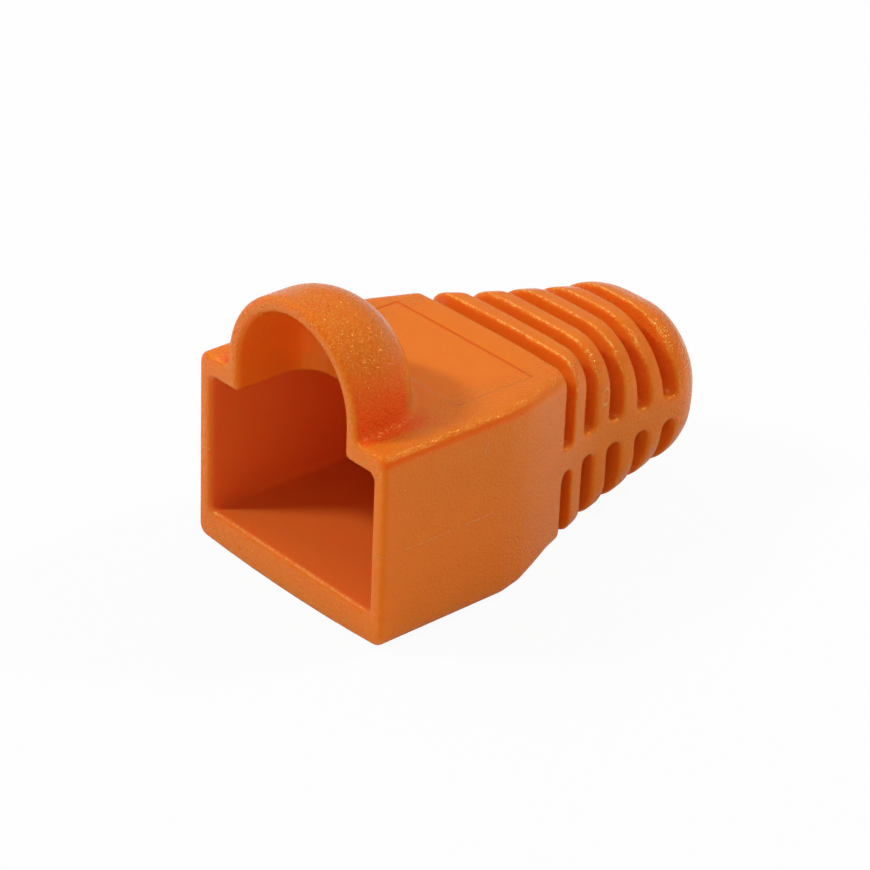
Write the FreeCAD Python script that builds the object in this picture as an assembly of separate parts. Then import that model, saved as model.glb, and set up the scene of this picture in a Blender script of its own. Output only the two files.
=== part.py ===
"""Strain relief boot for an 8-position modular plug: one moulded piece of soft plastic.

The frame: X runs across the plug, Y from the plug's mouth to the cable's end, Z up.
The origin is under the middle of the boot, on the level that it rests on. The boot is drawn with
its mouth at Y = 0 and moved back by half its length at the end. All lengths are in millimetres.
"""
import FreeCAD
import Part
import math
import os

Vector = FreeCAD.Vector

# Sleeve that grips the rear of the plug
PLUG_WIDTH = 11.6
PLUG_CLEARANCE = 0.05        # at each side of the plug
SIDE_WALL = 0.9
FLOOR_WALL = 1.6             # at the side walls, where the crown has run out
ROOF_WALL = 1.18
CAVITY_HEIGHT = 7.24
CAVITY_DEPTH = 9.3
CAVITY_CORNER = 0.3
UNDERSIDE_CROWN = 0.27       # how far the underside bows out between its edges
TOP_PLATE_CROWN = 0.03
TOP_EDGE_RADIUS = 0.57
BOTTOM_EDGE_RADIUS = 0.63
MOUTH_RIM_BEVEL = 0.18
PANEL_WIDTH = 9.67           # sunk field in the top plate, behind the hood
PANEL_START = 5.96
PANEL_LENGTH = 4.77
PANEL_DEPTH = 0.07

# Hood over the plug's latch
HOOD_LEDGE = 2.0             # roof kept at each side of the latch's opening
HOOD_WALL = 0.8
HOOD_RISE = 0.45             # from the top plate up to the centre of the arch
HOOD_STRAIGHT = 1.82         # before the dome
HOOD_DOME = 3.8
HOOD_ROOT_RADIUS = 0.4
HOOD_REAR_WALL = 1.22        # behind the latch's pocket
POCKET_CORNER = 1.4
POCKET_FOOT_BEVEL = 0.2      # edge between the pocket and the plug's cavity

# Tail that bends with the cable
CABLE_DIAMETER = 5.6
CABLE_CLEARANCE = 0.1        # all round the cable
TAIL_WALL = 1.92             # at the sides of the bore
AXIS_LIFT = 0.08             # bore axis above half of the sleeve's height
FUNNEL_LENGTH = 3.1          # cone that leads the cable from the cavity to its bore
FUNNEL_FLARE = 0.3
NECK_LENGTH = 3.0            # from the rear of the cavity to the first slot
SHOULDER_START = 7.71        # where the sides begin to draw in
SHOULDER_LENGTH = 8.17       # over which they reach the tail's width
SLOT_COUNT = 5
SLOT_WIDTH = 0.9
RIB_WIDTH = 0.98
SPINE_HEIGHT = 1.28          # web between the upper and lower slots at each side
SLOT_END_RADIUS = 0.35
END_RING_LENGTH = 2.2        # over which the end closes on the bore in a round
END_FACE_WIDTH = 0.1         # flat left round the bore
TAIL_TOP_DROP = 1.11         # from the top plate to the crest of the tail's end
TAIL_BOTTOM_RISE = 1.1
TAIL_TAPER_POWER = 1.42      # above 1, the drop and the rise start gently
TOP_BOW_RADIUS = 80.0        # of the tail's top between its corners
BOTTOM_BOW_RADIUS = 14.1
NECK_TOP_RADIUS = 0.95       # corners of the section at the first slot
NECK_BOTTOM_RADIUS = 0.6
TAIL_TOP_RADIUS = 4.15       # corners of the section near the end
TAIL_BOTTOM_RADIUS = 3.67
TAIL_ROUND_SHARE = 0.7       # share of the tail's length at which they are reached
NECK_STEPS = 4               # sections drawn from the sleeve to the first slot
ROUND_STEPS = 5              # and over the end's rounding

# Places worked out from the sizes above
CAVITY_WIDTH = PLUG_WIDTH + 2 * PLUG_CLEARANCE
BODY_WIDTH = CAVITY_WIDTH + 2 * SIDE_WALL
BODY_HALF = BODY_WIDTH / 2
CAVITY_FLOOR = UNDERSIDE_CROWN + FLOOR_WALL
CAVITY_TOP = CAVITY_FLOOR + CAVITY_HEIGHT
BODY_HEIGHT = CAVITY_TOP + ROOF_WALL
BORE_RADIUS = CABLE_DIAMETER / 2 + CABLE_CLEARANCE
TAIL_HALF = BORE_RADIUS + TAIL_WALL
AXIS_HEIGHT = BODY_HEIGHT / 2 + AXIS_LIFT
BODY_LENGTH = CAVITY_DEPTH + NECK_LENGTH
SLOT_PITCH = SLOT_WIDTH + RIB_WIDTH
TAIL_LENGTH = SLOT_COUNT * SLOT_PITCH - RIB_WIDTH + END_RING_LENGTH
LENGTH = BODY_LENGTH + TAIL_LENGTH
SLOT_FRONTS = [BODY_LENGTH + i * SLOT_PITCH for i in range(SLOT_COUNT)]
END_RADIUS = BORE_RADIUS + END_FACE_WIDTH
HOOD_INNER_RADIUS = CAVITY_WIDTH / 2 - HOOD_LEDGE
HOOD_RADIUS = HOOD_INNER_RADIUS + HOOD_WALL
HOOD_CENTRE = BODY_HEIGHT + HOOD_RISE
POCKET_DEPTH = HOOD_STRAIGHT + HOOD_DOME - HOOD_REAR_WALL
FAR = BODY_WIDTH + BODY_HEIGHT + LENGTH
NEAR = 1e-4


def ease(start, end, share):
    """Value between start and end along an S curve that is level at both ends."""
    share = min(max(share, 0.0), 1.0)
    return start + (end - start) * share * share * (3 - 2 * share)


def bow_radius(half_width, sag):
    """Radius of the shallow arc that bows out by sag over a chord of twice half_width."""
    return (half_width ** 2 + sag ** 2) / (2 * sag)


def blend_radius(start, end, share):
    """Radius whose curvature runs from that of start to that of end along an S curve."""
    return 1 / ease(1 / start, 1 / end, share)


def quarter_outline(half_width, reach, corner, bow):
    """Side end, middle and top end of the corner arc in one quarter of a section, as (across, up).

    The corner arc meets the upright side and the bowed top without a kink.
    """
    corner = min(corner, 0.95 * half_width, 0.95 * reach)
    across = half_width - corner
    rise = math.sqrt((bow - corner) ** 2 - across ** 2)
    lean = math.atan2(across, rise)
    middle = (math.pi / 2 + lean) / 2
    level = reach - bow + rise
    side_end = (half_width, level)
    corner_middle = (across + corner * math.sin(middle), level + corner * math.cos(middle))
    top_end = (across + corner * math.sin(lean), level + corner * math.cos(lean))
    return side_end, corner_middle, top_end


def section(y):
    """Closed outline of the boot's outside at distance y from the mouth."""
    draw_in = (y - SHOULDER_START) / SHOULDER_LENGTH
    neck = (y - SHOULDER_START) / (BODY_LENGTH - SHOULDER_START)
    tail = max(0.0, (y - BODY_LENGTH) / TAIL_LENGTH)
    taper = tail ** TAIL_TAPER_POWER
    half_width = ease(BODY_HALF, TAIL_HALF, draw_in)
    if neck < 1:
        top_corner = ease(TOP_EDGE_RADIUS, NECK_TOP_RADIUS, neck)
        low_corner = ease(BOTTOM_EDGE_RADIUS, NECK_BOTTOM_RADIUS, neck)
    else:
        roundness = min(1.0, tail / TAIL_ROUND_SHARE)
        top_corner = NECK_TOP_RADIUS + (TAIL_TOP_RADIUS - NECK_TOP_RADIUS) * roundness
        low_corner = NECK_BOTTOM_RADIUS + (TAIL_BOTTOM_RADIUS - NECK_BOTTOM_RADIUS) * roundness
    top_bow = blend_radius(bow_radius(BODY_HALF, TOP_PLATE_CROWN), TOP_BOW_RADIUS, draw_in)
    low_bow = blend_radius(bow_radius(BODY_HALF, UNDERSIDE_CROWN), BOTTOM_BOW_RADIUS, neck)
    top_reach = BODY_HEIGHT - TAIL_TOP_DROP * taper - AXIS_HEIGHT
    low_reach = AXIS_HEIGHT - TAIL_BOTTOM_RISE * taper
    rounding = max(0.0, 1 - (LENGTH - y) / END_RING_LENGTH)
    closed = 1 - math.sqrt(max(0.0, 1 - rounding ** 2))
    half_width += (END_RADIUS - half_width) * closed
    top_reach += (END_RADIUS - top_reach) * closed
    low_reach += (END_RADIUS - low_reach) * closed
    top_corner += (END_RADIUS - top_corner) * closed
    low_corner += (END_RADIUS - low_corner) * closed
    side, middle, top = quarter_outline(half_width, top_reach, top_corner, top_bow)
    low_side, low_middle, low = quarter_outline(half_width, low_reach, low_corner, low_bow)

    def place(point, mirror, flip):
        return Vector(point[0] * mirror, y, AXIS_HEIGHT + point[1] * flip)

    def arc(first, second, third):
        return Part.Arc(first, second, third).toShape()

    upper_right = [place(p, 1, 1) for p in (side, middle, top)]
    upper_left = [place(p, -1, 1) for p in (side, middle, top)]
    lower_right = [place(p, 1, -1) for p in (low_side, low_middle, low)]
    lower_left = [place(p, -1, -1) for p in (low_side, low_middle, low)]
    crest = Vector(0, y, AXIS_HEIGHT + top_reach)
    keel = Vector(0, y, AXIS_HEIGHT - low_reach)
    return Part.Wire([
        arc(upper_left[2], crest, upper_right[2]),
        arc(upper_right[2], upper_right[1], upper_right[0]),
        Part.makeLine(upper_right[0], lower_right[0]),
        arc(lower_right[0], lower_right[1], lower_right[2]),
        arc(lower_right[2], keel, lower_left[2]),
        arc(lower_left[2], lower_left[1], lower_left[0]),
        Part.makeLine(lower_left[0], upper_left[0]),
        arc(upper_left[0], upper_left[1], upper_left[2]),
    ])


def edges_where(shape, test):
    """Edges of a shape whose every sampled point passes the test."""
    found = []
    for edge in shape.Edges:
        first, last = edge.ParameterRange
        points = [edge.valueAt(first + (last - first) * i / 4) for i in range(5)]
        if all(test(p) for p in points):
            found.append(edge)
    return found


def outside():
    """Straight sleeve, then the shoulder and tail drawn from section to section, to the rounded end.

    There is a section in each slot's walls, so every rib runs straight from one to the next.
    """
    sleeve = Part.Face(section(0)).extrude(Vector(0, SHOULDER_START, 0))
    step = (BODY_LENGTH - SHOULDER_START) / NECK_STEPS
    places = [SHOULDER_START + i * step for i in range(NECK_STEPS)]
    for front in SLOT_FRONTS:
        places += [front, front + SLOT_WIDTH]
    for i in range(1, ROUND_STEPS + 1):
        angle = math.pi / 2 * i / ROUND_STEPS
        places.append(LENGTH - END_RING_LENGTH * (1 - math.sin(angle)))
    tail = Part.makeLoft([section(y) for y in places], True, True)
    return sleeve.fuse(tail).removeSplitter()


def vault(outline, foot):
    """Solid over the right half of a plan: turned about the arch's axis above it, upright down to foot."""
    face = Part.Face(Part.Wire(Part.sortEdges(outline)[0]))
    crown = face.revolve(Vector(0, 0, HOOD_CENTRE), Vector(0, -1, 0), 180)
    right_wall = face.extrude(Vector(0, 0, foot - HOOD_CENTRE))
    left_wall = right_wall.mirror(Vector(0, 0, 0), Vector(1, 0, 0))
    return crown.fuse([right_wall, left_wall]).removeSplitter()


def egg_arc(radius, depth, level):
    """Quarter of an ellipse in plan, from the side (radius, HOOD_STRAIGHT) to the rear on the axis."""
    centre = Vector(0, HOOD_STRAIGHT, level)
    side = Vector(radius, HOOD_STRAIGHT, level)
    rear = Vector(0, HOOD_STRAIGHT + depth, level)
    if depth > radius:
        ellipse = Part.Ellipse(rear, Vector(-radius, HOOD_STRAIGHT, level), centre)
        return Part.Arc(ellipse, 3 * math.pi / 2, 2 * math.pi).toShape()
    ellipse = Part.Ellipse(side, rear, centre)
    return Part.Arc(ellipse, 0, math.pi / 2).toShape()


def hood():
    """Outside of the hood: half a barrel with a half-egg end, on upright sides that reach the roof."""
    front = Vector(0, 0, HOOD_CENTRE)
    front_side = Vector(HOOD_RADIUS, 0, HOOD_CENTRE)
    outline = [
        Part.makeLine(front, front_side),
        Part.makeLine(front_side, Vector(HOOD_RADIUS, HOOD_STRAIGHT, HOOD_CENTRE)),
        egg_arc(HOOD_RADIUS, HOOD_DOME, HOOD_CENTRE),
        Part.makeLine(Vector(0, HOOD_STRAIGHT + HOOD_DOME, HOOD_CENTRE), front),
    ]
    return vault(outline, CAVITY_TOP + ROOF_WALL / 2)


def latch_pocket():
    """Room for the latch: a vault with a rounded rear, open at the mouth and down to the plug."""
    radius = HOOD_INNER_RADIUS
    half = POCKET_CORNER * math.sqrt(0.5)
    centre_x = radius - POCKET_CORNER
    centre_y = POCKET_DEPTH - POCKET_CORNER
    front = Vector(0, -1, HOOD_CENTRE)
    front_side = Vector(radius, -1, HOOD_CENTRE)
    corner_start = Vector(radius, centre_y, HOOD_CENTRE)
    corner_middle = Vector(centre_x + half, centre_y + half, HOOD_CENTRE)
    corner_end = Vector(centre_x, POCKET_DEPTH, HOOD_CENTRE)
    rear = Vector(0, POCKET_DEPTH, HOOD_CENTRE)
    outline = [
        Part.makeLine(front, front_side),
        Part.makeLine(front_side, corner_start),
        Part.Arc(corner_start, corner_middle, corner_end).toShape(),
        Part.makeLine(corner_end, rear),
        Part.makeLine(rear, front),
    ]
    return vault(outline, (CAVITY_FLOOR + CAVITY_TOP) / 2)


def plug_cavity():
    """Box that takes the rear of the plug, with its long edges rounded."""
    corner = Vector(-CAVITY_WIDTH / 2, -1, CAVITY_FLOOR)
    cavity = Part.makeBox(CAVITY_WIDTH, CAVITY_DEPTH + 1, CAVITY_HEIGHT, corner)
    long_edges = [e for e in cavity.Edges if e.BoundBox.YLength > CAVITY_DEPTH]
    return cavity.makeFillet(CAVITY_CORNER, long_edges)


def cable_bore():
    """Bore for the cable along the tail, with a cone that leads into it from the cavity."""
    along = Vector(0, 1, 0)
    start = Vector(0, CAVITY_DEPTH, AXIS_HEIGHT)
    bore = Part.makeCylinder(BORE_RADIUS, LENGTH, start, along)
    cone = Part.makeCone(BORE_RADIUS + FUNNEL_FLARE, BORE_RADIUS, FUNNEL_LENGTH, start, along)
    return bore.fuse(cone)


def inside():
    """Everything that is hollow: the plug's cavity, the latch's pocket and the cable's bore."""
    hollow = plug_cavity().fuse([latch_pocket(), cable_bore()]).removeSplitter()
    foot = edges_where(hollow, lambda p: abs(p.z - CAVITY_TOP) < NEAR
                       and abs(p.x) < HOOD_INNER_RADIUS + NEAR and p.y < POCKET_DEPTH + NEAR)
    return hollow.makeChamfer(POCKET_FOOT_BEVEL, foot)


def panel():
    """Sunk field in the top plate, kept clear of the rounding at the hood's root."""
    corner = Vector(-PANEL_WIDTH / 2, PANEL_START, BODY_HEIGHT - PANEL_DEPTH)
    field = Part.makeBox(PANEL_WIDTH, PANEL_LENGTH, 1, corner)
    margin = HOOD_ROOT_RADIUS + PANEL_DEPTH
    centre = Vector(0, HOOD_STRAIGHT, 0)
    radius = (HOOD_RADIUS + margin, HOOD_DOME + margin)
    ellipse = Part.Ellipse(centre, max(radius), min(radius))
    root = Part.Face(Part.Wire(ellipse.toShape())).extrude(Vector(0, 0, FAR))
    if radius[1] > radius[0]:
        root.rotate(centre, Vector(0, 0, 1), 90)
    return field.cut(root)


def slots():
    """Upper and lower slots that turn the tail into ribs, with a spine between them at each side."""
    cuts = []
    for front in SLOT_FRONTS:
        for side in (1, -1):
            level = AXIS_HEIGHT + side * SPINE_HEIGHT / 2
            low = level if side > 0 else level - FAR
            blade = Part.makeBox(2 * FAR, SLOT_WIDTH, FAR, Vector(-FAR, front, low))
            tip = edges_where(blade, lambda p: abs(p.z - level) < NEAR)
            tip = [e for e in tip if e.Length > FAR]
            cuts.append(blade.makeFillet(SLOT_END_RADIUS, tip))
    return cuts


boot = outside().fuse(hood()).removeSplitter()
root = edges_where(boot, lambda p: 0 <= BODY_HEIGHT - p.z + NEAR < 2 * TOP_PLATE_CROWN
                   and abs(p.x) < HOOD_RADIUS + NEAR
                   and p.y < HOOD_STRAIGHT + HOOD_DOME + NEAR)
root = [e for e in root if e.BoundBox.YLength > NEAR]
boot = boot.makeFillet(HOOD_ROOT_RADIUS, root)
boot = boot.cut(panel())
boot = boot.cut(inside())
boot = boot.cut(slots())
rim = edges_where(boot, lambda p: abs(p.y) < NEAR)
boot = boot.makeChamfer(MOUTH_RIM_BEVEL, rim)
boot.translate(Vector(0, -LENGTH / 2, 0))

os.makedirs("parts", exist_ok=True)
boot.exportStep("parts/strain_relief_boot.step")
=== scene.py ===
import math
import bmesh
import bpy
import numpy as np
from mathutils import Matrix, Vector


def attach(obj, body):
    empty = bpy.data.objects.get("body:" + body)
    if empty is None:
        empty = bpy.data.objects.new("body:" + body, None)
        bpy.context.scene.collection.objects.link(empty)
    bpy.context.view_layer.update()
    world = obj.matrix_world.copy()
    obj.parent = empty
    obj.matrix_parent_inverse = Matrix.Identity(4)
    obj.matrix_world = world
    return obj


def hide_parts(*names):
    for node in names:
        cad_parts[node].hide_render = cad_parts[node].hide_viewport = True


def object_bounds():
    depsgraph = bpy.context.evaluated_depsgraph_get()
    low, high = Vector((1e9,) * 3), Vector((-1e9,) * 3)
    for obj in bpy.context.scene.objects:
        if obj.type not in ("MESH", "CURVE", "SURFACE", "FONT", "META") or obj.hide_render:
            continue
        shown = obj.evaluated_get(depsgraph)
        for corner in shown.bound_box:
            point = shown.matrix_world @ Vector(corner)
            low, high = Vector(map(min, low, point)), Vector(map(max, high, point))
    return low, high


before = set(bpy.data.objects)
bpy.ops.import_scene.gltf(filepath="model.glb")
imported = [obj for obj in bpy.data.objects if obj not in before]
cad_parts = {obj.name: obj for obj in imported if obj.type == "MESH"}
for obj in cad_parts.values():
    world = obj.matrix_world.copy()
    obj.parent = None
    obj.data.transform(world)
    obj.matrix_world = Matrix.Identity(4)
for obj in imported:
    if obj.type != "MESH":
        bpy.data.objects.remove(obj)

cad_low, cad_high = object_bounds()
scene = bpy.context.scene
scene.view_settings.view_transform = "Standard"

# ---------------------------------------------------------------------------------------------
# Boot: one soft moulding, sleeve and hood at the front, slotted tail behind. It is injected into
# a two-part mould with a finely grained wall, so its edges come out rounded and its skin grainy.
# The mould's closed skin is drawn anew as a fine even net, and the net's corners are eased.
MM = 0.001
MERGE = 0.002 * MM
NET = 0.08 * MM
EASE_ROUNDS = 13
SLEEVE_EASE, TAIL_EASE = 0.4, 1.0
TAIL_START, TAIL_FULL = -0.9 * MM, 0.4 * MM
THIN_TO = 0.25


def modified(piece, kind, **settings):
    """The piece's mesh with one modifier of this kind worked into it."""
    step = piece.modifiers.new(kind.lower(), kind)
    for name, value in settings.items():
        setattr(step, name, value)
    graph = bpy.context.evaluated_depsgraph_get()
    result = bpy.data.meshes.new_from_object(piece.evaluated_get(graph), depsgraph=graph)
    piece.modifiers.remove(step)
    return result


def eased(points, ends, share, rounds):
    """In each round a point goes its share of the half way to the mean of its neighbours."""
    total = len(points)
    count = np.bincount(ends.ravel(), minlength=total)[:, None]
    for turn in range(rounds):
        near_sum = np.stack([np.bincount(ends[:, 0], points[ends[:, 1], k], total)
                             + np.bincount(ends[:, 1], points[ends[:, 0], k], total)
                             for k in range(3)], axis=1)
        points = points + 0.5 * share[:, None] * (near_sum / count - points)
    return points


def tail_share(along):
    """0 on the sleeve and 1 on the tail, along an S curve: 3 r^2 - 2 r^3 of the way r between them."""
    way = np.clip((along - TAIL_START) / (TAIL_FULL - TAIL_START), 0, 1)
    return way * way * (3 - 2 * way)


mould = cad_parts["strain_relief_boot"].data.copy()
bm = bmesh.new()
bm.from_mesh(mould)
bmesh.ops.remove_doubles(bm, verts=bm.verts, dist=MERGE)
bm.to_mesh(mould)
bm.free()
boot = bpy.data.objects.new("boot_skin", mould)
scene.collection.objects.link(boot)
boot.data = modified(boot, "REMESH", mode="VOXEL", voxel_size=NET)
mesh = boot.data
points = np.empty(len(mesh.vertices) * 3)
mesh.vertices.foreach_get("co", points)
points = points.reshape(-1, 3)
ends = np.empty(len(mesh.edges) * 2, dtype=np.int64)
mesh.edges.foreach_get("vertices", ends)
share = SLEEVE_EASE + (TAIL_EASE - SLEEVE_EASE) * tail_share(points[:, 1])
points = eased(points, ends.reshape(-1, 2), share, EASE_ROUNDS)
mesh.vertices.foreach_set("co", points.ravel())
mesh.update()
boot.data = modified(boot, "DECIMATE", ratio=THIN_TO)
mesh = boot.data
mesh.name = "boot_skin"
mesh.shade_smooth()
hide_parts("strain_relief_boot")
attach(boot, "root")

# Soft plastic: light soaks a little way into it, red furthest, and its gloss is tinted orange.
skin = bpy.data.materials.new("soft_plastic")
skin.use_nodes = True
nodes = skin.node_tree.nodes
links = skin.node_tree.links
nodes.clear()
out = nodes.new("ShaderNodeOutputMaterial")
shader = nodes.new("ShaderNodeBsdfPrincipled")
links.new(shader.outputs["BSDF"], out.inputs["Surface"])
shader.inputs["Roughness"].default_value = 0.17
shader.inputs["IOR"].default_value = 1.48
shader.inputs["Specular IOR Level"].default_value = 0.5
shader.inputs["Specular Tint"].default_value = (1.0, 0.62, 0.08, 1)
shader.inputs["Subsurface Weight"].default_value = 0.7
shader.inputs["Subsurface Radius"].default_value = (1.0, 0.12, 0.04)
shader.inputs["Subsurface Scale"].default_value = 1.5 * MM
place = nodes.new("ShaderNodeTexCoord")
split = nodes.new("ShaderNodeSeparateXYZ")
links.new(place.outputs["Object"], split.inputs["Vector"])


def worked_out(operation, *values):
    """One Math node: its operation on up to three numbers or sockets."""
    step = nodes.new("ShaderNodeMath")
    step.operation = operation
    for k, value in enumerate(values):
        if isinstance(value, (int, float)):
            step.inputs[k].default_value = value
        else:
            links.new(value, step.inputs[k])
    return step.outputs[0]


def times(first, *others):
    """The product of all the values."""
    for other in others:
        first = worked_out("MULTIPLY", first, other)
    return first


def plus(first, *others):
    """The sum of all the values."""
    for other in others:
        first = worked_out("ADD", first, other)
    return first


def minus(first, second):
    """The first value less the second."""
    return worked_out("SUBTRACT", first, second)


def most(first, *others):
    """The largest of the values."""
    for other in others:
        first = worked_out("MAXIMUM", first, other)
    return first


def diagonal(first, second):
    """Root of the sum of the two squares."""
    return worked_out("SQRT", plus(times(first, first), times(second, second)))


def fade(value, start, end):
    """0 before start, 1 past end (or the other way round), with a smooth S between them."""
    step = nodes.new("ShaderNodeMapRange")
    step.interpolation_type = "SMOOTHSTEP"
    step.inputs["From Min"].default_value = min(start, end)
    step.inputs["From Max"].default_value = max(start, end)
    step.inputs["To Min"].default_value = 0 if start < end else 1
    step.inputs["To Max"].default_value = 1 if start < end else 0
    links.new(value, step.inputs["Value"])
    return step.outputs["Result"]


def near(value, middle, reach, core):
    """1 within core of the middle, fading to 0 at reach from it."""
    return fade(worked_out("ABSOLUTE", minus(value, middle)), reach, core)


def noise(scale, detail):
    """Noise over the boot's own coordinates, about 0 to 1."""
    step = nodes.new("ShaderNodeTexNoise")
    step.inputs["Scale"].default_value = scale
    step.inputs["Detail"].default_value = detail
    links.new(place.outputs["Object"], step.inputs["Vector"])
    return step.outputs["Fac"]


def spot(centre, size):
    """A round spot: 1 at its centre, 0 at its size."""
    away = nodes.new("ShaderNodeVectorMath")
    away.operation = "DISTANCE"
    away.inputs[1].default_value = centre
    links.new(place.outputs["Object"], away.inputs[0])
    return fade(away.outputs["Value"], size, size * 0.3)


def tinted(below, colour, share):
    """The colour below, mixed with another one by its share."""
    step = nodes.new("ShaderNodeMix")
    step.data_type = "RGBA"
    for name, value in (("Factor", share), ("A", below), ("B", colour)):
        if isinstance(value, tuple):
            step.inputs[name].default_value = (*value, 1)
        else:
            links.new(value, step.inputs[name])
    return step.outputs["Result"]


# Places on the boot that its finish goes by.
MOUTH = cad_low.y
SIDE = cad_high.x
HOOD_RADIUS = 4.65 * MM
HOOD_WALL = 0.8 * MM
HOOD_AXIS = cad_high.z - HOOD_RADIUS
ROOF = HOOD_AXIS - 0.45 * MM
CAVITY_ROOF = ROOF - 1.18 * MM
CAVITY_FLOOR = CAVITY_ROOF - 7.24 * MM
CAVITY_SIDE = SIDE - 0.9 * MM
CAVITY_REAR = MOUTH + 9.3 * MM
POCKET_RADIUS = HOOD_RADIUS - HOOD_WALL
PANEL_FRONT = MOUTH + 5.96 * MM
PANEL_REAR = PANEL_FRONT + 4.77 * MM
PANEL_SIDE = 4.835 * MM
FIRST_RIB = MOUTH + 13.2 * MM
RIB_PITCH = 1.88 * MM
x, y, z = split.outputs
across = worked_out("ABSOLUTE", x)
from_hood_axis = diagonal(x, most(minus(z, HOOD_AXIS), 0.0))
on_roof = fade(z, ROOF - 0.69 * MM, ROOF - 0.39 * MM)

# Grain of the mould's wall: fine pebbles, strongest on the hood. The cores that form the cavity and
# the latch's pocket are polished, so the plastic is nearly smooth there.
cavity = times(fade(across, CAVITY_SIDE + 0.25 * MM, CAVITY_SIDE + 0.05 * MM),
               fade(z, CAVITY_ROOF + 0.19 * MM, CAVITY_ROOF - 0.01 * MM),
               fade(z, CAVITY_FLOOR - 0.27 * MM, CAVITY_FLOOR - 0.07 * MM),
               fade(y, CAVITY_REAR + 0.16 * MM, CAVITY_REAR - 0.14 * MM))
pocket = times(fade(from_hood_axis, POCKET_RADIUS + 0.15 * MM, POCKET_RADIUS),
               fade(z, CAVITY_ROOF - 0.01 * MM, CAVITY_ROOF + 0.29 * MM))
pebbles = nodes.new("ShaderNodeTexVoronoi")
pebbles.inputs["Scale"].default_value = 7600
links.new(place.outputs["Object"], pebbles.inputs["Vector"])
pebble = worked_out("POWER", pebbles.outputs["Distance"], 2.0)
grain = plus(times(pebble, -0.050), times(noise(9000, 1), 0.024))
coarse = plus(0.5, times(fade(z, ROOF - 0.69 * MM, ROOF + 0.91 * MM), 0.6))
grain = times(grain, coarse, minus(1.0, times(most(cavity, pocket), 0.75)))

# Seam where the two halves of the mould meet: a thin broken ridge at half height on each side.
SEAM_HEIGHT, SPINE_SEAM_HEIGHT = 5.15 * MM, 5.35 * MM
seam = times(near(z, SEAM_HEIGHT, 0.07 * MM, 0.0),
             fade(across, CAVITY_SIDE - 0.05 * MM, CAVITY_SIDE + 0.15 * MM),
             fade(y, -3.5 * MM, -5.8 * MM),
             fade(noise(4500, 2), 0.40, 0.60))
spine_seam = times(near(z, SPINE_SEAM_HEIGHT, 0.05 * MM, 0.0),
                   fade(y, 0.6 * MM, 1.4 * MM),
                   fade(noise(2200, 1), 0.44, 0.54))
seam = plus(seam, times(spine_seam, 0.5))

# Panel behind the hood: its shallow sunk field is in the solid, and its edge is made crisp here.
panel = times(fade(across, PANEL_SIDE + 0.025 * MM, PANEL_SIDE - 0.035 * MM),
              on_roof,
              fade(y, PANEL_REAR - 0.03 * MM, PANEL_REAR - 0.07 * MM),
              fade(y, PANEL_FRONT - 0.03 * MM, PANEL_FRONT + 0.03 * MM))

# Mark of the mould's maker, left plain: a small oval ring on the side of a rib.
ring_along = worked_out("DIVIDE", minus(y, 4.20 * MM), 0.24 * MM)
ring_up = worked_out("DIVIDE", minus(z, 7.48 * MM), 0.45 * MM)
ring = times(near(diagonal(ring_along, ring_up), 1.0, 0.26, 0.08),
             fade(x, 3.8 * MM, 4.1 * MM))

# Wear: one short leaning scratch and a speck on the right side, two dimples under the mouth.
SCRATCH_HEIGHT, SCRATCH_PLACE, SCRATCH_LEAN = 8.79 * MM, -5.37 * MM, 0.518
along_scratch = minus(y, times(minus(z, SCRATCH_HEIGHT), SCRATCH_LEAN))
scratch = times(near(along_scratch, SCRATCH_PLACE, 0.07 * MM, 0.02 * MM),
                near(z, SCRATCH_HEIGHT, 0.26 * MM, 0.16 * MM),
                fade(x, 6.0 * MM, 6.3 * MM))
speck = spot((6.726 * MM, -10.231 * MM, 8.307 * MM), 0.10 * MM)
dimples = plus(spot((-3.5 * MM, MOUTH, 0.82 * MM), 0.16 * MM),
               spot((2.03 * MM, MOUTH, 0.58 * MM), 0.14 * MM))

# Painted highlight: pale glints along the front edge of each rib, from its crown down its flanks, and
# along the mouth's lip.
from_rib_front = worked_out("FLOORED_MODULO", minus(y, FIRST_RIB), RIB_PITCH)
rib_edge = times(near(from_rib_front, 0.08 * MM, 0.08 * MM, 0.02 * MM),
                 fade(y, FIRST_RIB - 0.14 * MM, FIRST_RIB - 0.04 * MM),
                 fade(z, 7.2 * MM, 9.2 * MM))
lip_edge = times(near(z, CAVITY_FLOOR - 0.05 * MM, 0.08 * MM, 0.02 * MM),
                 fade(y, MOUTH + 0.31 * MM, MOUTH + 0.18 * MM),
                 fade(across, CAVITY_SIDE - 0.05 * MM, CAVITY_SIDE - 0.25 * MM),
                 0.5)
painted_edge_glint = times(most(rib_edge, lip_edge), fade(noise(6500, 2), 0.42, 0.62))

# Colour: orange right through, a little uneven in depth. Painted on it: a red glow of light through
# the hood's thin flanks, red shade along the brims and in the panel's corner lines, shade deeper in
# the cavity, and pale glints on the rib edges and lip;
# the seam, ring, scratch and speck are paler where they are rubbed.
ORANGE, LIGHT_ORANGE = (0.82, 0.186, 0.012), (0.90, 0.234, 0.016)
# Of these reds, the flank one is a painted glow of light shining through the hood's thin walls; the
# brim and line ones are painted shade.
FLANK_GLOW_RED, BRIM_SHADE_RED, LINE_SHADE_RED = (0.97, 0.105, 0.008), (0.92, 0.120, 0.010), (0.72, 0.085, 0.006)
# The cavity orange is painted shade: a duller, bluer orange for the hollow's shaded walls and floor.
CAVITY_SHADE_ORANGE = (0.80, 0.180, 0.036)
# The first of these is a painted highlight for glinting edges; the second is the pale of real rubbing.
EDGE_GLINT, RUBBED = (1.0, 0.54, 0.16), (0.97, 0.44, 0.12)
uneven = plus(times(noise(600, 2), 0.5), times(noise(7000, 1), 0.5))
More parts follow.
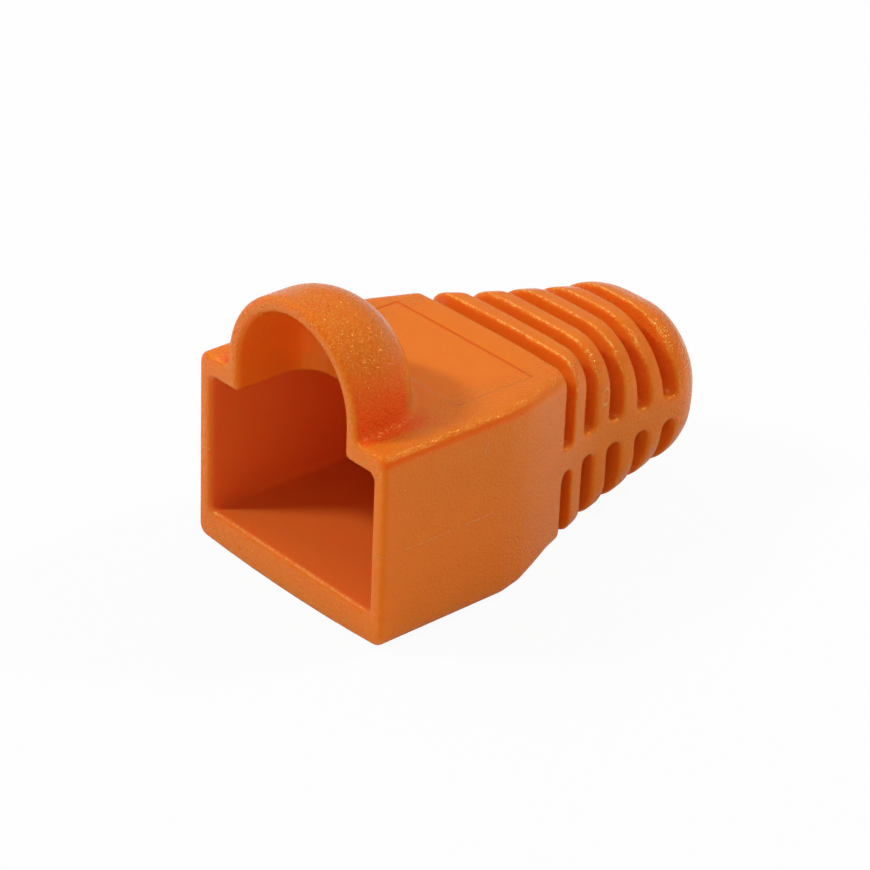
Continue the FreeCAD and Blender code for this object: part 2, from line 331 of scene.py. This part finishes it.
# Painted glow: the hood's lower flanks are painted red, as if lit through their thin walls from
# behind.
painted_flank_glow = times(fade(from_hood_axis, HOOD_RADIUS - 0.60 * MM, HOOD_RADIUS - 0.35 * MM),
              fade(z, HOOD_AXIS + 3.46 * MM, HOOD_AXIS + 0.66 * MM),
              fade(z, ROOF - 0.49 * MM, ROOF - 0.09 * MM),
              fade(y, MOUTH + 0.04 * MM, MOUTH + 0.24 * MM),
              fade(across, HOOD_RADIUS + 0.95 * MM, HOOD_RADIUS + 0.25 * MM),
              fade(y, MOUTH + 4.86 * MM, MOUTH + 2.66 * MM))
# Painted shade: a red band just under the side's top edges, where the rounding turns away from the
# light.
painted_brim_shade = times(fade(across, SIDE - 0.45 * MM, SIDE - 0.25 * MM),
             fade(z, ROOF - 0.19 * MM, ROOF - 0.31 * MM),
             fade(z, ROOF - 0.61 * MM, ROOF - 0.45 * MM),
             fade(y, -1.0 * MM, -4.0 * MM))
# Painted shade: dark red lines along the panel's rear and left edges, where its sunk step lies in
# shade.
rear_line = times(near(y, PANEL_REAR - 0.09 * MM, 0.13 * MM, 0.03 * MM),
                  fade(across, PANEL_SIDE + 0.065 * MM, PANEL_SIDE - 0.035 * MM))
left_line = times(near(x, -PANEL_SIDE + 0.055 * MM, 0.13 * MM, 0.03 * MM),
                  fade(y, PANEL_REAR + 0.03 * MM, PANEL_REAR - 0.07 * MM),
                  fade(y, -5.0 * MM, -2.0 * MM))
panel_edge_shade = times(most(rear_line, left_line), on_roof)
tone = tinted(ORANGE, LIGHT_ORANGE, uneven)
# Painted glow on the hood's flanks.
tone = tinted(tone, FLANK_GLOW_RED, times(painted_flank_glow, 0.9))
# Painted shade along the brims.
tone = tinted(tone, BRIM_SHADE_RED, times(painted_brim_shade, 0.55))
# Painted shade in the panel's corner lines.
tone = tinted(tone, LINE_SHADE_RED, times(panel_edge_shade, 0.6))
# Painted shade in the cavity.
tone = tinted(tone, CAVITY_SHADE_ORANGE, times(cavity, 0.7))
# Painted highlight along the rib edges and the lip.
tone = tinted(tone, EDGE_GLINT, times(painted_edge_glint, 0.6))
tone = tinted(tone, RUBBED, times(most(seam, ring, scratch, speck), 0.6))
links.new(tone, shader.inputs["Base Color"])

# Grain, seam, panel, ring and wear as one height in millimetres.
relief = plus(grain, times(seam, 0.035), times(panel, -0.06), times(ring, 0.05),
              times(plus(scratch, speck), 0.05), times(dimples, -0.05))
bump = nodes.new("ShaderNodeBump")
bump.inputs["Strength"].default_value = 1.0
bump.inputs["Distance"].default_value = MM
links.new(relief, bump.inputs["Height"])
links.new(bump.outputs["Normal"], shader.inputs["Normal"])
mesh.materials.clear()
mesh.materials.append(skin)

# ---------------------------------------------------------------------------------------------
# Floor: one pale matt sheet just under the boot, not fixed to it. To the camera it is nearly white
# by itself, and it still takes the boot's shadow.
FLOOR_SIZE, FLOOR_GAP = 2, 0.02 * MM
WHITE_SHARE = 0.95
bpy.ops.mesh.primitive_plane_add(size=FLOOR_SIZE, location=(0, 0, cad_low.z - FLOOR_GAP))
floor = bpy.context.object
floor.name = "floor"
pale = bpy.data.materials.new("pale_floor")
pale.use_nodes = True
floor_nodes = pale.node_tree.nodes
floor_links = pale.node_tree.links
floor_nodes.clear()
floor_out = floor_nodes.new("ShaderNodeOutputMaterial")
floor_matt = floor_nodes.new("ShaderNodeBsdfDiffuse")
floor_matt.inputs["Color"].default_value = (0.8, 0.8, 0.8, 1)
floor_white = floor_nodes.new("ShaderNodeEmission")
floor_white.inputs["Strength"].default_value = 1.0
floor_mix = floor_nodes.new("ShaderNodeMixShader")
floor_ray = floor_nodes.new("ShaderNodeLightPath")
floor_share = floor_nodes.new("ShaderNodeMath")
floor_share.operation = "MULTIPLY"
floor_share.inputs[1].default_value = WHITE_SHARE
floor_links.new(floor_ray.outputs["Is Camera Ray"], floor_share.inputs[0])
floor_links.new(floor_share.outputs[0], floor_mix.inputs["Fac"])
floor_links.new(floor_matt.outputs[0], floor_mix.inputs[1])
floor_links.new(floor_white.outputs[0], floor_mix.inputs[2])
floor_links.new(floor_mix.outputs[0], floor_out.inputs["Surface"])
floor.data.materials.append(pale)

# ---------------------------------------------------------------------------------------------
# Studio light: four square soft boxes on stands, all aimed at the boot's middle. A small key is at
# the front left, a weak large fill at the right, a large one at the left, a small one behind.
AIM = Vector((0, 0, 6 * MM))


def soft_box(name, location, size, power):
    """A square lamp of this size in metres and power in watts, turned to face the boot's middle."""
    light = bpy.data.lights.new(name, "AREA")
    light.shape = "SQUARE"
    light.size = size
    light.energy = power
    lamp = bpy.data.objects.new(name, light)
    scene.collection.objects.link(lamp)
    lamp.location = location
    lamp.rotation_mode = "QUATERNION"
    lamp.rotation_quaternion = (AIM - Vector(location)).to_track_quat("-Z", "Y")


soft_box("key", (-0.141, -0.168, 0.211), 0.045, 0.41)
soft_box("fill", (0.216, -0.181, 0.109), 0.16, 0.075)
soft_box("left", (-0.193, 0.0, 0.236), 0.16, 0.15)
soft_box("rear", (0.075, 0.186, 0.229), 0.028, 0.32)

# Room: plain pale walls that light the boot softly from all round, and are white to the camera.
ROOM_LIGHT = 0.265
room = bpy.data.worlds.new("room")
scene.world = room
room.use_nodes = True
room_nodes = room.node_tree.nodes
room_links = room.node_tree.links
room_nodes.clear()
room_out = room_nodes.new("ShaderNodeOutputWorld")
room_mix = room_nodes.new("ShaderNodeMixShader")
room_ray = room_nodes.new("ShaderNodeLightPath")
room_links.new(room_ray.outputs["Is Camera Ray"], room_mix.inputs["Fac"])
for slot, strength in ((1, ROOM_LIGHT), (2, 1.0)):
    walls = room_nodes.new("ShaderNodeBackground")
    walls.inputs["Color"].default_value = (1, 1, 1, 1)
    walls.inputs["Strength"].default_value = strength
    room_links.new(walls.outputs[0], room_mix.inputs[slot])
room_links.new(room_mix.outputs[0], room_out.inputs["Surface"])

# ---------------------------------------------------------------------------------------------
# Camera: a long lens on a stand, high on the front right, turned a little about its own axis.
azimuth, elevation, roll = (math.radians(angle) for angle in (47.4708, 29.303, 2.3742))
DISTANCE = 166.533 * MM
LENS, FILM_WIDTH = 143.5986, 36
NEAREST, FARTHEST = 5 * MM, 10
back = Vector((math.sin(azimuth) * math.cos(elevation),
               -math.cos(azimuth) * math.cos(elevation),
               math.sin(elevation)))
level_right = Vector((math.cos(azimuth), math.sin(azimuth), 0))
level_up = back.cross(level_right)
right = math.cos(roll) * level_right + math.sin(roll) * level_up
up = math.cos(roll) * level_up - math.sin(roll) * level_right
looked_at = Vector((0, MOUTH + 10 * MM, 6.056 * MM)) - 0.701 * MM * right - 0.766 * MM * up
camera_data = bpy.data.cameras.new("camera")
camera = bpy.data.objects.new("camera", camera_data)
scene.collection.objects.link(camera)
camera_data.sensor_width = FILM_WIDTH
camera_data.lens = LENS
camera_data.clip_start = NEAREST
camera_data.clip_end = FARTHEST
stand = Matrix.Translation(looked_at + DISTANCE * back)
camera.matrix_world = stand @ Matrix((right, up, back)).transposed().to_4x4()
scene.camera = camera
